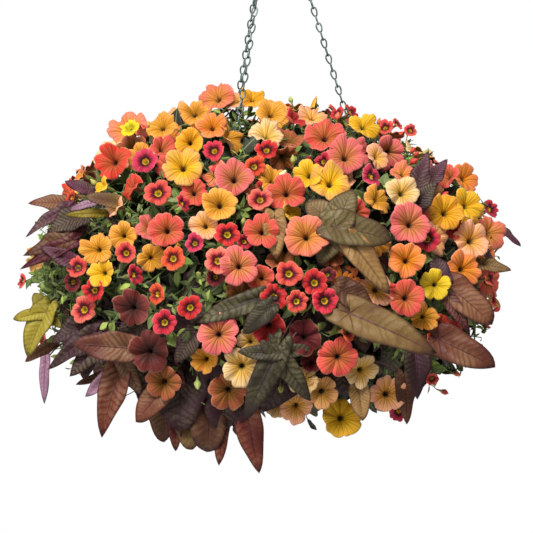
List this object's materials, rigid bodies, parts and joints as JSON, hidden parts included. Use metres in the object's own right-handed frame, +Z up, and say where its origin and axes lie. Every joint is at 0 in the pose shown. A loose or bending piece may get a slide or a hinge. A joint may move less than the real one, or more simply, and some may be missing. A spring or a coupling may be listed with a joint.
{
  "type": "petunia hanging basket",
  "caption": "Hanging wire basket on three jack chains, planted as a round mound of petunias, calibrachoas and sweet potato vine.",
  "frame": {"origin": "inside the top of the hook's crook, where it rests on its bracket", "axes": "+Z up; the front, which the viewer sees, looks along -Y; +X to the viewer's right"},
  "size_m": [0.6287, 0.5786, 0.7782],
  "materials": {
    "coated_wire": "satin powder coat",
    "chain_wire": "coated, slightly worn to metal",
    "coir": "matted fibre",
    "soil": "rough crumb",
    "petunia": "soft velvety petals, downy leaves",
    "calibrachoa": "soft velvety petals, fine leaves",
    "sweet_potato_vine": "satin leaf with raised veins"
  },
  "bodies": {
    "root": {"basket_hoop_lower": "coated_wire", "basket_hoop_upper": "coated_wire", "basket_ribs": "coated_wire", "basket_rim_ring": "coated_wire", "calibrachoa_shoot_01": "calibrachoa", "calibrachoa_shoot_02": "calibrachoa", "calibrachoa_shoot_03": "calibrachoa", "calibrachoa_shoot_04": "calibrachoa", "calibrachoa_shoot_05": "calibrachoa", "calibrachoa_shoot_06": "calibrachoa", "calibrachoa_shoot_07": "calibrachoa", "calibrachoa_shoot_08": "calibrachoa", "calibrachoa_shoot_09": "calibrachoa", "calibrachoa_shoot_10": "calibrachoa", "calibrachoa_shoot_11": "calibrachoa", "chain_back_left": "chain_wire", "chain_front_left": "chain_wire", "chain_right": "chain_wire", "coco_liner": "coir", "gather_ring": "coated_wire", "hanger_hook": "coated_wire", "petunia_shoot_01": "petunia", "petunia_shoot_02": "petunia", "petunia_shoot_03": "petunia", "petunia_shoot_04": "petunia", "petunia_shoot_05": "petunia", "petunia_shoot_06": "petunia", "petunia_shoot_07": "petunia", "petunia_shoot_08": "petunia", "petunia_shoot_09": "petunia", "petunia_shoot_10": "petunia", "petunia_shoot_11": "petunia", "petunia_shoot_12": "petunia", "petunia_shoot_13": "petunia", "petunia_shoot_14": "petunia", "petunia_shoot_15": "petunia", "petunia_shoot_16": "petunia", "petunia_shoot_17": "petunia", "petunia_shoot_18": "petunia", "petunia_shoot_19": "petunia", "potting_soil": "soil", "sweet_potato_vine_01": "sweet_potato_vine", "sweet_potato_vine_02": "sweet_potato_vine", "sweet_potato_vine_03": "sweet_potato_vine", "sweet_potato_vine_04": "sweet_potato_vine", "sweet_potato_vine_05": "sweet_potato_vine", "sweet_potato_vine_06": "sweet_potato_vine", "sweet_potato_vine_07": "sweet_potato_vine", "sweet_potato_vine_08": "sweet_potato_vine", "sweet_potato_vine_09": "sweet_potato_vine", "sweet_potato_vine_10": "sweet_potato_vine", "sweet_potato_vine_11": "sweet_potato_vine", "sweet_potato_vine_12": "sweet_potato_vine", "sweet_potato_vine_13": "sweet_potato_vine"}
  },
  "joints": []
}
